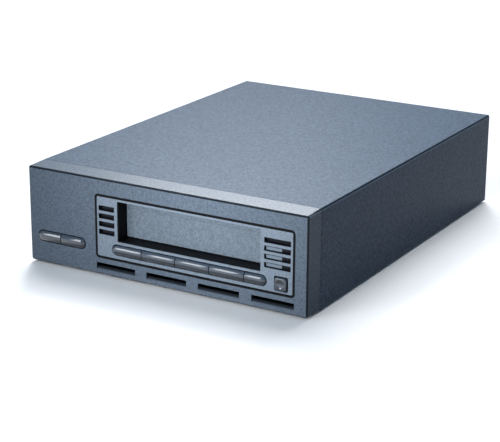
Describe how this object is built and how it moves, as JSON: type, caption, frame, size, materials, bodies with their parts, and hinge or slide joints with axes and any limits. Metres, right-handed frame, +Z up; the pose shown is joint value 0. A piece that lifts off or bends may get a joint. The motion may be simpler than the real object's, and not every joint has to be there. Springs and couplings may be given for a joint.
{
  "type": "desktop data tape drive",
  "caption": "Free-standing enclosure with a half-height cartridge tape drive behind a moulded fascia, front keys, flap door, eject button, rear connectors and inlet.",
  "frame": {"origin": "middle of the footprint, on the surface that the feet stand on", "axes": "+Z up, the front looks along -Y, +X to the right as the user faces the front"},
  "size_m": [0.215, 0.296, 0.069],
  "materials": {
    "cover_paint": "fine textured bluish grey paint",
    "fascia_plastic": "fine textured bluish grey moulding",
    "bezel_plastic": "fine textured grey moulding",
    "door_plastic": "textured light grey moulding",
    "key_plastic": "smooth grey keys with a slight gloss",
    "black_plastic": "matt black",
    "lens_plastic": "dark tinted, smooth",
    "legend_plastic": "bare grey tiles",
    "zinc_steel": "zinc plated sheet",
    "cast_metal": "die cast, matt",
    "machined_steel": "turned and ground",
    "gear_plastic": "natural acetal",
    "board_green": "circuit board",
    "cable_grey": "flexible insulation",
    "foot_rubber": "black stick-on pads",
    "brass_pins": "plated contacts",
    "rocker_plastic": "black, slight gloss",
    "fan_plastic": "black"
  },
  "bodies": {
    "enclosure": {"front_fascia": "fascia_plastic", "top_cover": "cover_paint", "base_tray": "zinc_steel", "rear_panel": "cover_paint", "rubber_feet": "foot_rubber", "status_board": "board_green", "drive_bezel": "bezel_plastic", "light_shields": "black_plastic", "indicator_lenses": "lens_plastic", "legend_tiles": "legend_plastic", "slot_liner": "black_plastic", "front_board": "board_green", "drive_casting": "cast_metal", "drive_lid": "zinc_steel", "controller_board": "board_green", "load_motor": "machined_steel", "reel_motors": "machined_steel", "head_frame": "cast_metal", "head_stepper": "machined_steel", "drive_rails": "zinc_steel", "psu_case": "zinc_steel", "psu_board": "board_green", "power_harness": "cable_grey", "ribbon_cable": "cable_grey", "interface_board": "board_green", "signal_connectors": "zinc_steel", "jack_screws": "machined_steel", "fan_frame": "fan_plastic", "ac_inlet": "black_plastic", "inlet_pins": "brass_pins", "rocker_frame": "black_plastic", "id_switch": "black_plastic"},
    "status_key_left": {"status_key_left": "key_plastic"},
    "status_key_right": {"status_key_right": "key_plastic"},
    "slot_door": {"slot_door": "door_plastic"},
    "eject_button": {"eject_button": "key_plastic"},
    "key_1": {"key_1": "key_plastic"},
    "key_2": {"key_2": "key_plastic"},
    "key_3": {"key_3": "key_plastic"},
    "key_4": {"key_4": "key_plastic"},
    "key_5": {"key_5": "key_plastic"},
    "receiver": {"cartridge_receiver": "zinc_steel"},
    "cam_slide": {"cam_slide": "zinc_steel"},
    "load_gear": {"load_gear": "gear_plastic"},
    "load_pinion": {"load_pinion": "gear_plastic"},
    "supply_hub": {"supply_hub": "gear_plastic"},
    "take_up_reel": {"take_up_reel": "black_plastic"},
    "guide_roller_1": {"guide_roller_1": "machined_steel"},
    "guide_roller_2": {"guide_roller_2": "machined_steel"},
    "head_screw": {"head_screw": "machined_steel"},
    "head_carriage": {"head_carriage": "cast_metal", "tape_head": "machined_steel"},
    "fan_rotor": {"fan_rotor": "fan_plastic"},
    "rocker": {"rocker": "rocker_plastic"},
    "id_wheel": {"id_wheel": "gear_plastic"},
    "id_button_up": {"id_button_up": "key_plastic"},
    "id_button_down": {"id_button_down": "key_plastic"}
  },
  "joints": [
    {"name": "status_key_left_press", "type": "slide", "parent": "enclosure", "child": "status_key_left", "axis": [0, 1, 0], "range_m": [0, 0.0009], "stiffness_N_per_m": 400},
    {"name": "status_key_right_press", "type": "slide", "parent": "enclosure", "child": "status_key_right", "axis": [0, 1, 0], "range_m": [0, 0.0009], "stiffness_N_per_m": 400},
    {"name": "key_1_press", "type": "slide", "parent": "enclosure", "child": "key_1", "axis": [0, 1, 0], "range_m": [0, 0.0009], "stiffness_N_per_m": 400},
    {"name": "key_2_press", "type": "slide", "parent": "enclosure", "child": "key_2", "axis": [0, 1, 0], "range_m": [0, 0.0009], "stiffness_N_per_m": 400},
    {"name": "key_3_press", "type": "slide", "parent": "enclosure", "child": "key_3", "axis": [0, 1, 0], "range_m": [0, 0.0009], "stiffness_N_per_m": 400},
    {"name": "key_4_press", "type": "slide", "parent": "enclosure", "child": "key_4", "axis": [0, 1, 0], "range_m": [0, 0.0009], "stiffness_N_per_m": 400},
    {"name": "key_5_press", "type": "slide", "parent": "enclosure", "child": "key_5", "axis": [0, 1, 0], "range_m": [0, 0.0009], "stiffness_N_per_m": 400},
    {"name": "eject_button_press", "type": "slide", "parent": "enclosure", "child": "eject_button", "axis": [0, 1, 0], "range_m": [0, 0.0009], "stiffness_N_per_m": 400},
    {"name": "door_swing", "type": "hinge", "parent": "enclosure", "child": "slot_door", "pos_m": [0.01975, -0.1357, 0.0538], "axis": [1, 0, 0], "range_deg": [0, 88], "stiffness_Nm_per_rad": 0.004, "springref_deg": -34.38},
    {"name": "cam_slide_move", "type": "slide", "parent": "enclosure", "child": "cam_slide", "axis": [0, -1, 0], "range_m": [0, 0.012]},
    {"name": "receiver_lower", "type": "slide", "parent": "enclosure", "child": "receiver", "axis": [0, 0, -1], "range_m": [0, 0.004]},
    {"name": "load_gear_turn", "type": "hinge", "parent": "enclosure", "child": "load_gear", "pos_m": [0.08375, -0.076, 0.0211], "axis": [0, 0, 1], "range_deg": [0, 143.4]},
    {"name": "load_pinion_turn", "type": "hinge", "parent": "enclosure", "child": "load_pinion", "pos_m": [0.08375, -0.0868, 0.0211], "axis": [0, 0, 1], "range_deg": [-286.9, 0]},
    {"name": "supply_hub_spin", "type": "hinge", "parent": "enclosure", "child": "supply_hub", "pos_m": [0.01975, -0.081, 0.0203], "axis": [0, 0, 1], "continuous": true},
    {"name": "take_up_reel_spin", "type": "hinge", "parent": "enclosure", "child": "take_up_reel", "pos_m": [0.0327, 0.0212, 0.0363], "axis": [0, 0, 1], "continuous": true},
    {"name": "guide_roller_1_spin", "type": "hinge", "parent": "enclosure", "child": "guide_roller_1", "pos_m": [-0.0343, -0.01, 0.0363], "axis": [0, 0, 1], "continuous": true},
    {"name": "guide_roller_2_spin", "type": "hinge", "parent": "enclosure", "child": "guide_roller_2", "pos_m": [-0.0343, 0.024, 0.0363], "axis": [0, 0, 1], "continuous": true},
    {"name": "head_screw_turn", "type": "hinge", "parent": "enclosure", "child": "head_screw", "pos_m": [-0.0373, 0.0034, 0.0363], "axis": [0, 0, 1], "range_deg": [-576.5, 576.5]},
    {"name": "head_lift", "type": "slide", "parent": "enclosure", "child": "head_carriage", "axis": [0, 0, 1], "range_m": [-0.0032, 0.0032]},
    {"name": "fan_spin", "type": "hinge", "parent": "enclosure", "child": "fan_rotor", "pos_m": [-0.027, 0.1343, 0.03525], "axis": [0, 1, 0], "continuous": true},
    {"name": "power_rocker", "type": "hinge", "parent": "enclosure", "child": "rocker", "pos_m": [-0.0791, 0.1395, 0.045], "axis": [0, 0, 1], "range_deg": [0, 16]},
    {"name": "id_wheel_turn", "type": "hinge", "parent": "enclosure", "child": "id_wheel", "pos_m": [0.088, 0.1389, 0.033], "axis": [1, 0, 0], "continuous": true},
    {"name": "id_button_up_press", "type": "slide", "parent": "enclosure", "child": "id_button_up", "axis": [0, -1, 0], "range_m": [0, 0.001], "stiffness_N_per_m": 400},
    {"name": "id_button_down_press", "type": "slide", "parent": "enclosure", "child": "id_button_down", "axis": [0, -1, 0], "range_m": [0, 0.001], "stiffness_N_per_m": 400}
  ],
  "couplings": [
    {"joint": "receiver_lower", "follows": "cam_slide_move", "ratio": 0.33333},
    {"joint": "load_gear_turn", "follows": "cam_slide_move", "rad_per_m": 208.33},
    {"joint": "load_pinion_turn", "follows": "cam_slide_move", "rad_per_m": -416.67},
    {"joint": "head_screw_turn", "follows": "head_lift", "rad_per_m": 3141.6}
  ]
}
